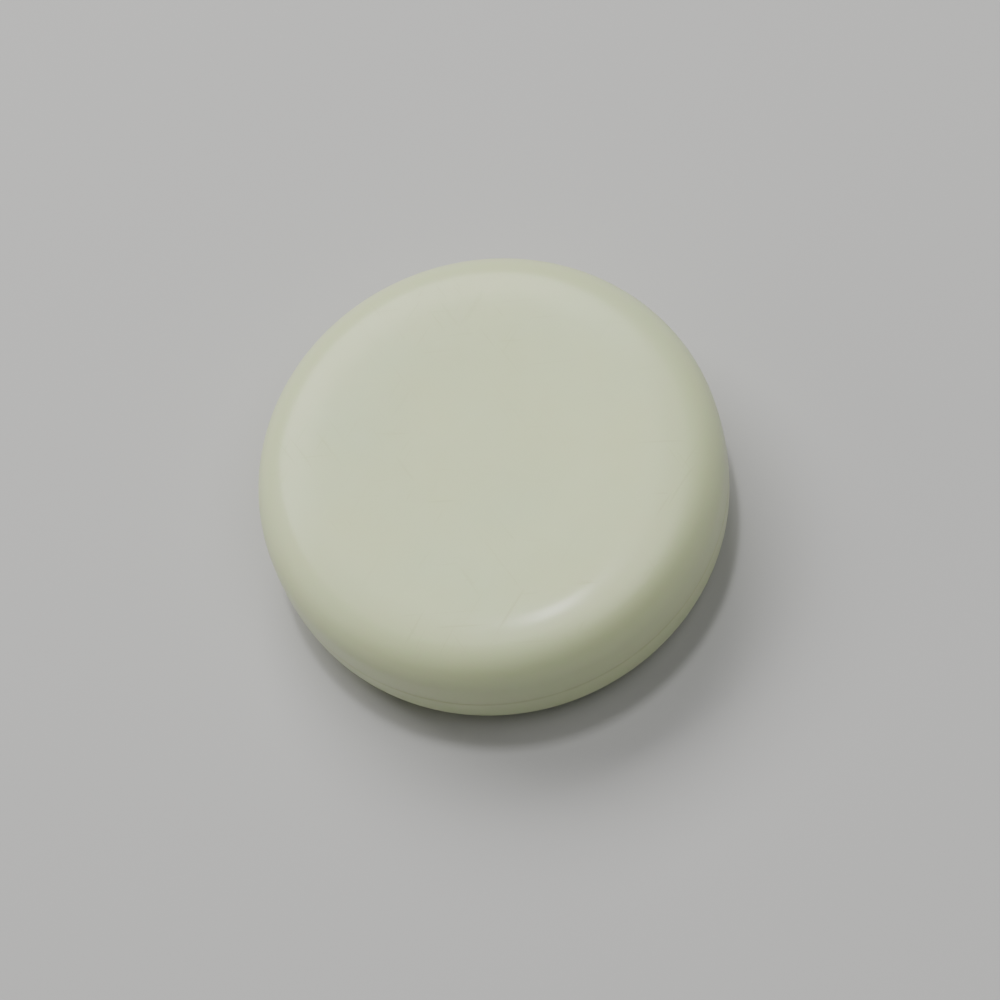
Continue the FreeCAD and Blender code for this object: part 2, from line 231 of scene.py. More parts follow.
def turnSection(tree, section, segments):
    # Sweeps the section round Z: each column of a grid takes its places from the section's points.
    rows = addNode(tree, "GeometryNodeAttributeDomainSize", {"Geometry": section}).outputs["Point Count"]
    columns = calc(tree, "ADD", segments, 1)
    grid = addNode(tree, "GeometryNodeMeshGrid", {
        "Vertices X": columns, "Vertices Y": rows,
    }).outputs["Mesh"]
    index = addNode(tree, "GeometryNodeInputIndex").outputs[0]
    row = calc(tree, "MODULO", index, rows)
    column = calc(tree, "FLOOR", calc(tree, "DIVIDE", calc(tree, "ADD", index, 0.5), rows))
    sample = addNode(tree, "GeometryNodeSampleIndex", data_type="FLOAT_VECTOR", domain="POINT")
    feed(tree, sample.inputs["Geometry"], section)
    feed(tree, sample.inputs["Value"], addNode(tree, "GeometryNodeInputPosition").outputs[0])
    feed(tree, sample.inputs["Index"], row)
    split = addNode(tree, "ShaderNodeSeparateXYZ", {"Vector": sample.outputs["Value"]})
    angle = calc(tree, "DIVIDE", calc(tree, "MULTIPLY", column, 2 * math.pi), segments)
    place = addNode(tree, "ShaderNodeCombineXYZ", {
        "X": calc(tree, "MULTIPLY", split.outputs["X"], calc(tree, "COSINE", angle)),
        "Y": calc(tree, "MULTIPLY", split.outputs["X"], calc(tree, "SINE", angle)),
        "Z": split.outputs["Z"],
    })
    turned = addNode(tree, "GeometryNodeSetPosition", {"Geometry": grid, "Position": place.outputs[0]})
    outwards = addNode(tree, "GeometryNodeFlipFaces", {"Mesh": turned.outputs["Geometry"]})
    return outwards.outputs["Mesh"], row


def closeAndRoughen(tree, turned, row, outsideRows, depth, size, seed):
    # Welds the seam and the poles, then sinks the outside by soft noise, never above its true surface.
    outside = calc(tree, "LESS_THAN", row, outsideRows)
    kept = addNode(tree, "GeometryNodeCaptureAttribute", domain="POINT")
    kept.capture_items.new("FLOAT", "outside")
    feed(tree, kept.inputs["Geometry"], turned)
    feed(tree, kept.inputs["outside"], outside)
    welded = addNode(tree, "GeometryNodeMergeByDistance", {
        "Geometry": kept.outputs["Geometry"], "Distance": 0.001 * mm,
    })
    place = addNode(tree, "GeometryNodeInputPosition").outputs[0]
    noise = addNode(tree, "ShaderNodeTexNoise", {
        "Vector": place, "W": seed, "Scale": calc(tree, "DIVIDE", 1.0, size),
        "Detail": 2.0, "Roughness": 0.45,
    }, noise_dimensions="4D").outputs["Fac"]
    sink = calc(tree, "MULTIPLY", calc(tree, "MULTIPLY", noise, depth), kept.outputs["outside"])
    normal = addNode(tree, "GeometryNodeInputNormal").outputs[0]
    offset = vectorCalc(tree, "SCALE", normal, scale=calc(tree, "MULTIPLY", sink, -1.0))
    return addNode(tree, "GeometryNodeSetPosition", {
        "Geometry": welded.outputs["Geometry"], "Offset": offset,
    }).outputs["Geometry"]


def spread(tree, shape, count, firstAngle, radius):
    # Copies of a shape round Z, each turned to face outwards.
    points = addNode(tree, "GeometryNodePoints", {"Count": count}).outputs[0]
    index = addNode(tree, "GeometryNodeInputIndex").outputs[0]
    pitch = calc(tree, "DIVIDE", 2 * math.pi, count)
    angle = calc(tree, "ADD", calc(tree, "MULTIPLY", index, pitch), firstAngle)
    turn = addNode(tree, "ShaderNodeCombineXYZ", {"Z": angle}).outputs[0]
    place = addNode(tree, "ShaderNodeCombineXYZ", {
        "X": calc(tree, "MULTIPLY", radius, calc(tree, "COSINE", angle)),
        "Y": calc(tree, "MULTIPLY", radius, calc(tree, "SINE", angle)),
    }).outputs[0]
    moved = addNode(tree, "GeometryNodeSetPosition", {"Geometry": points, "Position": place}).outputs[0]
    rotation = addNode(tree, "FunctionNodeEulerToRotation", {"Euler": turn}).outputs[0]
    copies = addNode(tree, "GeometryNodeInstanceOnPoints", {
        "Points": moved, "Instance": shape, "Rotation": rotation,
    }).outputs[0]
    return addNode(tree, "GeometryNodeRealizeInstances", {"Geometry": copies}).outputs[0]


def placed(tree, shape, x, low, high):
    # Lifts a shape that is centred on the origin to between two heights.
    middle = calc(tree, "MULTIPLY", calc(tree, "ADD", low, high), 0.5)
    shift = addNode(tree, "ShaderNodeCombineXYZ", {"X": x, "Z": middle}).outputs[0]
    return addNode(tree, "GeometryNodeTransform", {"Geometry": shape, "Translation": shift}).outputs[0]


def bar(tree, fromRadius, toRadius, thickness, low, high):
    size = addNode(tree, "ShaderNodeCombineXYZ", {
        "X": calc(tree, "SUBTRACT", toRadius, fromRadius),
        "Y": thickness,
        "Z": calc(tree, "SUBTRACT", high, low),
    }).outputs[0]
    box = addNode(tree, "GeometryNodeMeshCube", {"Size": size}).outputs["Mesh"]
    middle = calc(tree, "MULTIPLY", calc(tree, "ADD", fromRadius, toRadius), 0.5)
    return placed(tree, box, middle, low, high)


def post(tree, radius, low, high):
    cylinder = addNode(tree, "GeometryNodeMeshCylinder", {
        "Vertices": postSides, "Radius": radius, "Depth": calc(tree, "SUBTRACT", high, low),
    }).outputs["Mesh"]
    return placed(tree, cylinder, 0.0, low, high)


def combine(tree, operation, first, second):
    # A union takes all its meshes on the second socket, a difference cuts that one from the first.
    node = addNode(tree, "GeometryNodeMeshBoolean", operation=operation, solver="MANIFOLD")
    firstSocket = "Mesh 1" if operation == "DIFFERENCE" else "Mesh 2"
    tree.links.new(first, node.inputs[firstSocket])
    tree.links.new(second, node.inputs["Mesh 2"])
    return node.outputs["Mesh"]


def finishTree(tree, geometry, material, turn, lift):
    # Smooth except at real corners, turned and lifted into place, with its material.
    edgeAngle = addNode(tree, "GeometryNodeInputMeshEdgeAngle").outputs["Unsigned Angle"]
    isSharp = addNode(tree, "FunctionNodeCompare", {
        0: edgeAngle, 1: sharpAngle,
    }, data_type="FLOAT", operation="GREATER_THAN").outputs[0]
    smooth = addNode(tree, "GeometryNodeSetShadeSmooth", {"Geometry": geometry}, domain="FACE").outputs[0]
    creased = addNode(tree, "GeometryNodeSetShadeSmooth", {
        "Geometry": smooth, "Selection": isSharp, "Shade Smooth": False,
    }, domain="EDGE").outputs[0]
    rotation = addNode(tree, "ShaderNodeCombineXYZ", {"X": turn}).outputs[0]
    shift = addNode(tree, "ShaderNodeCombineXYZ", {"Z": lift}).outputs[0]
    spun = addNode(tree, "FunctionNodeEulerToRotation", {"Euler": rotation}).outputs[0]
    seated = addNode(tree, "GeometryNodeTransform", {
        "Geometry": creased, "Translation": shift, "Rotation": spun,
    }).outputs[0]
    real = addNode(tree, "GeometryNodeRealizeInstances", {"Geometry": seated}).outputs[0]
    return addNode(tree, "GeometryNodeSetMaterial", {"Geometry": real, "Material": material}).outputs[0]


length = "NodeSocketFloat"
whole = "NodeSocketInt"
turnedInputs = {
    "Section": ("NodeSocketGeometry", None),
    "Segments": (whole, 360),
    "Outside rows": (whole, 0),
    "Waviness": (length, 0.0),
    "Wave size": (length, 0.01),
    "Seed": (length, 0.0),
    "Turn": (length, 0.0),
    "Lift": (length, 0.0),
    "Material": ("NodeSocketMaterial", None),
}


def makeTurnedTree():
    tree = bpy.data.node_groups.new("turned piece", "GeometryNodeTree")
    given, result = addSockets(tree, turnedInputs, {"Geometry": "NodeSocketGeometry"})
    turned, row = turnSection(tree, given["Section"], given["Segments"])
    closed = closeAndRoughen(
        tree, turned, row, given["Outside rows"], given["Waviness"], given["Wave size"], given["Seed"]
    )
    feed(tree, result[0], finishTree(tree, closed, given["Material"], given["Turn"], given["Lift"]))
    return tree


def makeShellTree():
    tree = bpy.data.node_groups.new("moulded shell", "GeometryNodeTree")
    inputs = dict(turnedInputs)
    inputs.update({
        "Rib count": (whole, 6),
        "Rib thickness": (length, 0.0),
        "Rib from": (length, 0.0),
        "Rib to": (length, 0.0),
        "Rib free edge": (length, 0.0),
        "Root": (length, 0.0),
        "Pin count": (whole, 3),
        "Pin circle": (length, 0.0),
        "Boss radius": (length, 0.0),
        "Boss end": (length, 0.0),
        "Has pins": ("NodeSocketBool", False),
        "Pin radius": (length, 0.0),
        "Pin end": (length, 0.0),
        "Ceiling": (length, 0.0),
    })
    given, result = addSockets(tree, inputs, {"Geometry": "NodeSocketGeometry"})
    turned, row = turnSection(tree, given["Section"], given["Segments"])
    shell = closeAndRoughen(
        tree, turned, row, given["Outside rows"], given["Waviness"], given["Wave size"], given["Seed"]
    )
    roots = calc(tree, "ADD", given["Ceiling"], given["Root"])
    freeEdge = given["Rib free edge"]
    rib = bar(tree, given["Rib from"], given["Rib to"], given["Rib thickness"], freeEdge, roots)
    ribStart = calc(tree, "DIVIDE", math.pi, given["Rib count"])
    shell = combine(tree, "UNION", shell, spread(tree, rib, given["Rib count"], ribStart, 0.0))
    boss = post(tree, given["Boss radius"], given["Boss end"], roots)
    shell = combine(tree, "UNION", shell, spread(tree, boss, given["Pin count"], 0.0, given["Pin circle"]))
    pin = post(tree, given["Pin radius"], given["Pin end"], freeEdge)
    pins = spread(tree, pin, given["Pin count"], 0.0, given["Pin circle"])
    belowSeam = calc(tree, "MULTIPLY", given["Boss end"], -1.0)
    hole = post(tree, given["Pin radius"], belowSeam, given["Ceiling"])
    holes = spread(tree, hole, given["Pin count"], 0.0, given["Pin circle"])
    either = addNode(tree, "GeometryNodeSwitch", {
        "Switch": given["Has pins"],
        "False": combine(tree, "DIFFERENCE", shell, holes),
        "True": combine(tree, "UNION", shell, pins),
    }, input_type="GEOMETRY").outputs[0]
    feed(tree, result[0], finishTree(tree, either, given["Material"], given["Turn"], given["Lift"]))
    return tree


def grow(name, points, tree, values):
    # Runs a tree on a section and keeps the result as a plain mesh with the section's name.
    source = sectionObject(name + "Section", points)
    modifier = source.modifiers.new("form", "NODES")
    modifier.node_group = tree
    sockets = {item.name: item.identifier for item in tree.interface.items_tree if item.in_out == "INPUT"}
    for label, value in values.items():
        modifier[sockets[label]] = value
    bpy.context.view_layer.update()
    ready = source.evaluated_get(bpy.context.evaluated_depsgraph_get())
    mesh = bpy.data.meshes.new_from_object(ready)
    source.modifiers.remove(modifier)
    bpy.data.objects.remove(source)
    mesh.name = name
    piece = bpy.data.objects.new(name, mesh)
    bpy.context.scene.collection.objects.link(piece)
    print(name, len(mesh.polygons), "faces")
    return piece


# Effects that several finishes share

def makeCloudGroup():
    tree = bpy.data.node_groups.new("cloudy tone", "ShaderNodeTree")
    given, result = addSockets(tree, {
        "Vector": ("NodeSocketVector", None),
        "Size": (length, 0.01),
        "Detail": (length, 2.0),
        "Contrast": (length, 1.0),
    }, {"Tone": length})
    noise = addNode(tree, "ShaderNodeTexNoise", {
        "Vector": given["Vector"], "Scale": calc(tree, "DIVIDE", 1.0, given["Size"]),
        "Detail": given["Detail"], "Roughness": 0.55,
    })
    centred = calc(tree, "MULTIPLY", calc(tree, "SUBTRACT", noise.outputs["Fac"], 0.5), given["Contrast"])
    feed(tree, result["Tone"], calc(tree, "ADD", centred, 0.5, clamp=True))
    return tree


def makeScratchGroup():
    # Fine lines in three directions, gathered in patches.
    tree = bpy.data.node_groups.new("hair scratches", "ShaderNodeTree")
    given, result = addSockets(tree, {
        "Vector": ("NodeSocketVector", None),
        "Length": (length, 0.008),
        "Width": (length, 0.0001),
        "Share": (length, 0.3),
    }, {"Mask": length})
    directions = (17, 74, 139)
    lines = 0.0
    threshold = remap(tree, given["Share"], 0.0, 1.0, 0.74, 0.52)
    for number, degrees in enumerate(directions):
        turned = addNode(tree, "ShaderNodeVectorRotate", {
            "Vector": given["Vector"], "Angle": math.radians(degrees),
        }, rotation_type="Z_AXIS").outputs[0]
        stretch = addNode(tree, "ShaderNodeCombineXYZ", {
            "X": calc(tree, "DIVIDE", 1.0, given["Length"]),
            "Y": calc(tree, "DIVIDE", 1.0, calc(tree, "MULTIPLY", given["Width"], 4.0)),
            "Z": calc(tree, "DIVIDE", 1.0, given["Length"]),
        }).outputs[0]
        streaks = addNode(tree, "ShaderNodeTexNoise", {
            "Vector": vectorCalc(tree, "MULTIPLY", turned, stretch), "W": 3.7 * number, "Scale": 1.0,
            "Detail": 1.0, "Roughness": 0.4, "Distortion": 0.15,
        }, noise_dimensions="4D").outputs["Fac"]
        above = calc(tree, "SUBTRACT", streaks, threshold)
        lines = calc(tree, "MAXIMUM", lines, remap(tree, above, 0.0, 0.05, smooth=True))
    patches = addNode(tree, "ShaderNodeTexNoise", {
        "Vector": given["Vector"], "Scale": calc(tree, "DIVIDE", 0.7, given["Length"]), "Detail": 1.0,
    }).outputs["Fac"]
    gathered = remap(tree, patches, 0.4, 0.62, 0.15, 1.0, smooth=True)
    feed(tree, result["Mask"], calc(tree, "MULTIPLY", lines, gathered))
    return tree


def makeSpeckGroup():
    # Round specks, one at most in each cell, in a share of the cells.
    tree = bpy.data.node_groups.new("specks", "ShaderNodeTree")
    given, result = addSockets(tree, {
        "Vector": ("NodeSocketVector", None),
        "Spacing": (length, 0.005),
        "Radius": (length, 0.0002),
        "Share": (length, 0.2),
    }, {"Mask": length})
    cells = addNode(tree, "ShaderNodeTexVoronoi", {
        "Vector": given["Vector"], "Scale": calc(tree, "DIVIDE", 1.0, given["Spacing"]), "Randomness": 0.9,
    })
    away = calc(tree, "MULTIPLY", cells.outputs["Distance"], given["Spacing"])
    random = addNode(tree, "ShaderNodeSeparateColor", {"Color": cells.outputs["Color"]})
    radius = calc(tree, "MULTIPLY", given["Radius"], remap(tree, random.outputs["Green"], 0, 1, 0.4, 1.0))
    spot = calc(tree, "SUBTRACT", 1.0, calc(tree, "DIVIDE", away, radius), clamp=True)
    chosen = calc(tree, "LESS_THAN", random.outputs["Red"], given["Share"])
    soft = remap(tree, spot, 0.0, 0.5, smooth=True)
    feed(tree, result["Mask"], calc(tree, "MULTIPLY", soft, chosen))
    return tree


cloudGroup = makeCloudGroup()
scratchGroup = makeScratchGroup()
speckGroup = makeSpeckGroup()


def useGroup(tree, group, inputs):
    node = tree.nodes.new("ShaderNodeGroup")
    node.node_tree = group
    for name, value in inputs.items():
        feed(tree, node.inputs[name], value)
    return node.outputs[0]


def startFinish(name):
    material = bpy.data.materials.new(name)
    material.use_nodes = True
    tree = material.node_tree
    shader = next(node for node in tree.nodes if node.type == "BSDF_PRINCIPLED")
    place = addNode(tree, "ShaderNodeTexCoord").outputs["Object"]
    return material, tree, shader, place


def mixColour(tree, factor, first, second):
    # Sockets 6 and 7 and output 2 are the mix node's colours.
    node = addNode(tree, "ShaderNodeMix", data_type="RGBA")
    feed(tree, node.inputs[0], factor)
    feed(tree, node.inputs[6], first)
    feed(tree, node.inputs[7], second)
    return node.outputs[2]


def bump(tree, height):
    # The height is in metres.
    return addNode(tree, "ShaderNodeBump", {"Strength": 1.0, "Distance": 1.0, "Height": height}).outputs[0]


def slotColour(slot):
    found = next(m for m in frame["record"]["materials"] if m["slot"] == slot)
    return Vector(found["base_color"][:3])


def shade(colour, tint):
    return (*(part * share for part, share in zip(colour, tint)), 1.0)


def stain(tree, body, mask, strength, colour, tint):
    # Where the mask is white, the body goes a share of the way to the tinted colour.
    return mixColour(tree, calc(tree, "MULTIPLY", mask, strength), body, shade(colour, tint))


creamPlastic = {
    "tint": (0.965, 1.075, 0.75),   # fits the record's colour to this light
    "roughness": 0.4,
    "polish": 0.17,             # how much thin gloss lies over the satin
    "roughnessDrift": 0.05,
    "toneSize": 0.016,
    "toneContrast": 2.2,
    "mottleSize": 0.0024,
    "mottleContrast": 1.2,
    "speckSpacing": 0.0075,
    "speckRadius": 0.00028,
    "speckShare": 0.12,
    "scratchLength": 0.007,
    "scratchWidth": 0.00008,
    "scratchShare": 0.3,
    "grainSize": 0.00016,
    "grainHeight": 1.1e-6,
    "peelSize": 0.0017,
    "peelHeight": 2.2e-6,
    "scratchDepth": 1.6e-6,
    "seamDirtHalfWidth": 0.00022,
    "faceBand": (0.8, 0.97),    # scratches set in between these shares of half the height
    "rimBand": (0.62, 0.86),    # handling wear and painted sheen show from the first to the second share of the radius
    "handledPolish": 0.03,      # how much smoother, and for the next two how much rougher
    "scratchRoughness": 0.14,
    "dirtRoughness": 0.3,
    "warmTint": (1.03, 1.0, 0.95),
    "coolTint": (0.98, 1.005, 1.035),
    "mottle": (0.24, (0.9, 0.89, 0.86)),        # strength and tint, as in the next four
    "rimWearAndSheen": (0.45, (1.05, 1.02, 1.12)),      # painted sheen: paler and bluer on the rim, where fingers also polish it
    "scratch": (0.4, (0.86, 0.84, 0.8)),
    "speck": (0.4, (0.55, 0.47, 0.36)),
    "seamDirt": (0.12, (0.5, 0.46, 0.38)),
    "coatRoughness": 0.15,
    "coatBending": 1.5,         # refractive indices
    "bending": 1.53,
    "depthShare": 0.35,         # how much light goes into the plastic and comes out again
    "depthByColour": (0.8, 1.3, 0.7),
    "depthScale": 0.0012,
}


def makeCreamPlastic(form, colour, seamHeight, outer):
    material, tree, shader, place = startFinish("creamPlastic")
    tone = useGroup(tree, cloudGroup, {
        "Vector": place, "Size": form["toneSize"], "Contrast": form["toneContrast"],
    })
    mottle = useGroup(tree, cloudGroup, {
        "Vector": place, "Size": form["mottleSize"], "Detail": 4.0, "Contrast": form["mottleContrast"],
    })
    specks = useGroup(tree, speckGroup, {
        "Vector": place, "Spacing": form["speckSpacing"], "Radius": form["speckRadius"],
        "Share": form["speckShare"],
    })
    scratches = useGroup(tree, scratchGroup, {
        "Vector": place, "Length": form["scratchLength"], "Width": form["scratchWidth"],
        "Share": form["scratchShare"],
    })
    grain = addNode(tree, "ShaderNodeTexNoise", {
        "Vector": place, "Scale": 1 / form["grainSize"], "Detail": 2.0,
    }).outputs["Fac"]
    peel = addNode(tree, "ShaderNodeTexNoise", {
        "Vector": place, "Scale": 1 / form["peelSize"], "Detail": 1.0,
    }).outputs["Fac"]

    split = addNode(tree, "ShaderNodeSeparateXYZ", {"Vector": place})
    flat = vectorCalc(tree, "MULTIPLY", place, (1.0, 1.0, 0.0))
    away = addNode(tree, "ShaderNodeVectorMath", {0: flat}, operation="LENGTH").outputs["Value"]
    offSeam = calc(tree, "ABSOLUTE", calc(tree, "SUBTRACT", split.outputs["Z"], seamHeight))
    faceStart, faceFull = form["faceBand"]
    onFaces = remap(tree, offSeam, seamHeight * faceStart, seamHeight * faceFull, smooth=True)
    scratches = calc(tree, "MULTIPLY", scratches, onFaces)
    dirtEdge = calc(tree, "MULTIPLY", mottle, form["seamDirtHalfWidth"] * 2)
    pastDirt = calc(tree, "SUBTRACT", offSeam, dirtEdge)
    seamDirt = remap(tree, pastDirt, -0.1 * mm, 0.1 * mm, 1.0, 0.0, smooth=True)
    rimStart, rimFull = form["rimBand"]
    # Ring mask on the rim: smoother roughness there as handling wear, and a painted sheen in the colour
    rimWearAndSheen = remap(tree, away, outer * rimStart, outer * rimFull, smooth=True)

    cream = shade(colour, form["tint"])
    body = mixColour(tree, tone, shade(cream, form["coolTint"]), shade(cream, form["warmTint"]))
    marks = {
        "mottle": mottle, "rimWearAndSheen": rimWearAndSheen, "scratch": scratches, "speck": specks, "seamDirt": seamDirt,
    }
    for mark, mask in marks.items():
        strength, tint = form[mark]
        body = stain(tree, body, mask, strength, cream, tint)
    feed(tree, shader.inputs["Base Color"], body)

    drift = calc(tree, "MULTIPLY", calc(tree, "SUBTRACT", mottle, 0.5), form["roughnessDrift"] * 2)
    rough = calc(tree, "ADD", drift, form["roughness"])
    rough = calc(tree, "SUBTRACT", rough, calc(tree, "MULTIPLY", rimWearAndSheen, form["handledPolish"]))
    rough = calc(tree, "ADD", rough, calc(tree, "MULTIPLY", scratches, form["scratchRoughness"]))
    rough = calc(tree, "ADD", rough, calc(tree, "MULTIPLY", seamDirt, form["dirtRoughness"]), clamp=True)
    feed(tree, shader.inputs["Roughness"], rough)

    height = calc(tree, "MULTIPLY", grain, form["grainHeight"])
    height = calc(tree, "ADD", height, calc(tree, "MULTIPLY", peel, form["peelHeight"]))
    height = calc(tree, "SUBTRACT", height, calc(tree, "MULTIPLY", scratches, form["scratchDepth"]))
    feed(tree, shader.inputs["Normal"], bump(tree, height))

    gloss = calc(tree, "MULTIPLY", remap(tree, mottle, 0.2, 0.8, 0.85, 1.0), form["polish"])
    worn = calc(tree, "MAXIMUM", scratches, seamDirt)
    coat = calc(tree, "MULTIPLY", gloss, calc(tree, "SUBTRACT", 1.0, worn))
    feed(tree, shader.inputs["Coat Weight"], coat)
    shader.inputs["Coat Roughness"].default_value = form["coatRoughness"]
    shader.inputs["Coat IOR"].default_value = form["coatBending"]
    shader.inputs["IOR"].default_value = form["bending"]
    shader.inputs["Subsurface Weight"].default_value = form["depthShare"]
    shader.inputs["Subsurface Radius"].default_value = form["depthByColour"]
    shader.inputs["Subsurface Scale"].default_value = form["depthScale"]
    return material


zincPlate = {
    "roughness": 0.3,
    "spangleSize": 0.0011,
    "dullSpangle": (0.93, 0.95, 1.0),
    "brightSpangle": (1.06, 1.07, 1.08),
    "tarnishSize": 0.006,
    "tarnish": (0.35, (0.82, 0.8, 0.74)),       # strength and tint
    "tarnishRoughness": 0.16,
    "scratchRoughness": 0.15,
    "scratchLength": 0.012,
    "scratchWidth": 0.00006,
    "scratchShare": 0.55,
    "scratchDepth": 2.5e-6,
}


def makeZincPlate(form, colour):
    material, tree, shader, place = startFinish("zincPlate")
    cells = addNode(tree, "ShaderNodeTexVoronoi", {
        "Vector": place, "Scale": 1 / form["spangleSize"], "Randomness": 1.0,
    }).outputs["Color"]
    spangle = addNode(tree, "ShaderNodeSeparateColor", {"Color": cells}).outputs["Red"]
    tarnish = useGroup(tree, cloudGroup, {
        "Vector": place, "Size": form["tarnishSize"], "Detail": 3.0, "Contrast": 1.8,
    })
    scratches = useGroup(tree, scratchGroup, {
        "Vector": place, "Length": form["scratchLength"], "Width": form["scratchWidth"],
        "Share": form["scratchShare"],
    })
    dull, bright = shade(colour, form["dullSpangle"]), shade(colour, form["brightSpangle"])
    strength, tint = form["tarnish"]
    body = stain(tree, mixColour(tree, spangle, dull, bright), tarnish, strength, colour, tint)
    feed(tree, shader.inputs["Base Color"], body)
    rough = calc(tree, "ADD", calc(tree, "MULTIPLY", tarnish, form["tarnishRoughness"]), form["roughness"])
    rough = calc(tree, "ADD", rough, calc(tree, "MULTIPLY", scratches, form["scratchRoughness"]))
    feed(tree, shader.inputs["Roughness"], rough)
    height = calc(tree, "MULTIPLY", scratches, -form["scratchDepth"])
    feed(tree, shader.inputs["Normal"], bump(tree, height))
    shader.inputs["Metallic"].default_value = 1.0
    return material


darkFoam = {
    "roughness": 0.92,
    "cellSize": 0.00045,
    "cellDepth": 9e-5,
    # painted light on the cell walls and painted shade in the pores
    "litWallTint": (1.5, 1.5, 1.5),
    "poreShadeTint": (0.55, 0.55, 0.55),
    "dustSize": 0.005,
    "dustPolish": 0.1,
    "dust": (0.3, (2.4, 2.3, 2.1)),     # strength and tint, as in the next
    "fluff": (0.5, (5.0, 4.8, 4.4)),
    "fluffSpacing": 0.002,
    "fluffRadius": 0.0002,
    "fluffShare": 0.2,
}


def makeDarkFoam(form, colour):
    material, tree, shader, place = startFinish("darkFoam")
    cells = addNode(tree, "ShaderNodeTexVoronoi", {
        "Vector": place, "Scale": 1 / form["cellSize"],
    }).outputs["Distance"]
    pores = remap(tree, cells, 0.1, 0.7, 1.0, 0.0, smooth=True)
    dust = useGroup(tree, cloudGroup, {
        "Vector": place, "Size": form["dustSize"], "Detail": 4.0, "Contrast": 1.6,
    })
    fluff = useGroup(tree, speckGroup, {
        "Vector": place, "Spacing": form["fluffSpacing"], "Radius": form["fluffRadius"],
        "Share": form["fluffShare"],
    })
    # Painted shade: the colour goes darker in the pores and lighter on the cell walls
    body = mixColour(tree, pores, shade(colour, form["litWallTint"]), shade(colour, form["poreShadeTint"]))
    for mark, mask in {"dust": dust, "fluff": fluff}.items():
        strength, tint = form[mark]
        body = stain(tree, body, mask, strength, colour, tint)
    feed(tree, shader.inputs["Base Color"], body)
    rough = calc(tree, "SUBTRACT", form["roughness"], calc(tree, "MULTIPLY", dust, form["dustPolish"]))
    feed(tree, shader.inputs["Roughness"], rough)
    feed(tree, shader.inputs["Normal"], bump(tree, calc(tree, "MULTIPLY", pores, -form["cellDepth"])))
    return material


outer = cadHigh.x
height = cadHigh.z - cadLow.z
seamHeight = cadLow.z + height / 2
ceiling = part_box("upper_foam_pad")[1].z - seamHeight    # over the seam, as the shell's section has it
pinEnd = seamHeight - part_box("lower_shell")[1].z
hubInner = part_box("weight_slug")[1].x + buttonForm["hubClearance"] * mm

plastic = makeCreamPlastic(creamPlastic, slotColour("shell_plastic"), seamHeight, outer)
steel = makeZincPlate(zincPlate, slotColour("slug_steel"))
foam = makeDarkFoam(darkFoam, slotColour("pad_foam"))
print("finishes ready")

turnedTree = makeTurnedTree()
shellTree = makeShellTree()

shellMould = {
    "segments": 360,
    "waviness": 0.016,          # how deep the faint unevenness of the moulding goes
    "waveSize": 9.0,
    "upperSeed": 2.1,
    "lowerSeed": 7.3,
    "ribCount": 6,
    "pinCount": 3,
    "pinRadius": 1.1,
    "bossRadius": 2.3,
    "root": 0.4,                # how far ribs and bosses sink into a wall
    "ribClearance": 1.0,        # from the end of the tongue to the free edge of the ribs
}


def makeShell(name, node, isLower):
    form = buttonForm
    mould = shellMould
    outside = outsideSection(form, outer / mm, height / 2 / mm)
    inside = insideSection(form, outer / mm, ceiling / mm, hubInner / mm, isLower)
    hubMiddle = hubInner + form["hubWall"] / 2 * mm
    inner = outer - form["rimWall"] * mm
    pinRadius = mould["pinRadius"] if isLower else mould["pinRadius"] + form["lapClearance"]
    piece = grow(name, outside + inside, shellTree, {
        "Segments": mould["segments"],
        "Outside rows": len(outside) - 1,
        "Waviness": mould["waviness"] * mm,
        "Wave size": mould["waveSize"] * mm,
        "Seed": mould["lowerSeed"] if isLower else mould["upperSeed"],
        "Turn": math.pi if isLower else 0.0,
        "Lift": seamHeight,
        "Material": plastic,
        "Rib count": mould["ribCount"],
        "Rib thickness": form["hubWall"] * mm,
        "Rib from": hubMiddle,
        "Rib to": inner + mould["root"] / 2 * mm,
        "Rib free edge": (form["tongueHeight"] + mould["ribClearance"]) * mm,
        "Root": mould["root"] * mm,
        "Pin count": mould["pinCount"],
        "Pin circle": (hubInner + form["hubWall"] * mm + inner) / 2,
        "Boss radius": mould["bossRadius"] * mm,
        "Boss end": form["meetingGap"] * mm,
        "Has pins": isLower,
        "Pin radius": pinRadius * mm,
        "Pin end": pinEnd,
        "Ceiling": ceiling,
    })
    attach(piece, "root")
    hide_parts(node)


makeShell("upperShell", "upper_shell", isLower=False)
makeShell("lowerShell", "lower_shell", isLower=True)

slugForm = {
    "edgeRound": 0.5,
    "hollowDepth": 0.06,        # faint hollow that punching leaves in each face
    "waviness": 0.02,
    "waveSize": 4.0,
    "seed": 4.0,
    "segments": 180,
    "faceRings": 5,
    "edgeStep": math.radians(11),
}


def makeSlug(form):
    low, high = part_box("weight_slug")
    radius = high.x / mm
    half = (high.z - low.z) / 2 / mm
    corner = form["edgeRound"]
    quarter = arcPoints((radius - corner, half - corner), corner, 0.0, math.pi / 2, form["edgeStep"])
    shares = [ring / form["faceRings"] for ring in range(form["faceRings"])]
    top = [(radius * share, half - form["hollowDepth"] * (1 - share ** 2)) for share in shares] + quarter
    points = top + [(x, -z) for x, z in reversed(top)]
    piece = grow("weightSlug", points, turnedTree, {
        "Segments": form["segments"], "Outside rows": len(points), "Waviness": form["waviness"] * mm,
        "Wave size": form["waveSize"] * mm, "Seed": form["seed"], "Lift": (low.z + high.z) / 2,
        "Material": steel,
    })
    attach(piece, "root")
    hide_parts("weight_slug")


makeSlug(slugForm)

foamForm = {
    "bulge": 0.25,
    "edgeRound": 0.3,
    "waviness": 0.06,
    "waveSize": 0.8,
    "seed": 9.0,
    "segments": 240,
    "faceRings": 7,
    "ringPitch": 0.15,          # as a share of the flat face's radius
    "sideRows": 4,
    "edgeStep": math.radians(15),
    "fill": 0.9,
}


